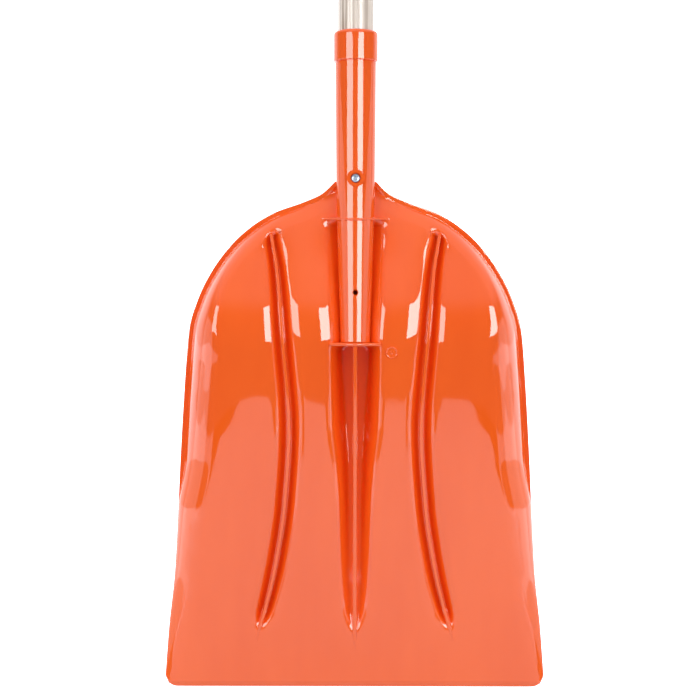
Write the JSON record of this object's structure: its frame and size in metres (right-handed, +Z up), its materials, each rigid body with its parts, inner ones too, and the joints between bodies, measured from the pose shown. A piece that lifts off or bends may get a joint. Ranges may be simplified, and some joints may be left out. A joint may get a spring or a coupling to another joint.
{
  "type": "snow shovel",
  "caption": "Scoop snow shovel with a one-piece moulded blade, ribbed back, tapered socket and a straight round wooden handle held by a screw.",
  "frame": {"origin": "middle of the leading edge's bottom face", "axes": "+Z up the blade towards the handle, +Y from the blade's ribbed back towards its hollow, +X to the right seen from the back"},
  "size_m": [0.3846, 0.2189, 1.5934],
  "materials": {
    "plastic": "glossy moulded orange",
    "wood": "sanded pale ash",
    "screw": "bright zinc plate"
  },
  "bodies": {
    "root": {"blade": "plastic", "handle": "wood", "socket_screw": "screw"}
  },
  "joints": []
}
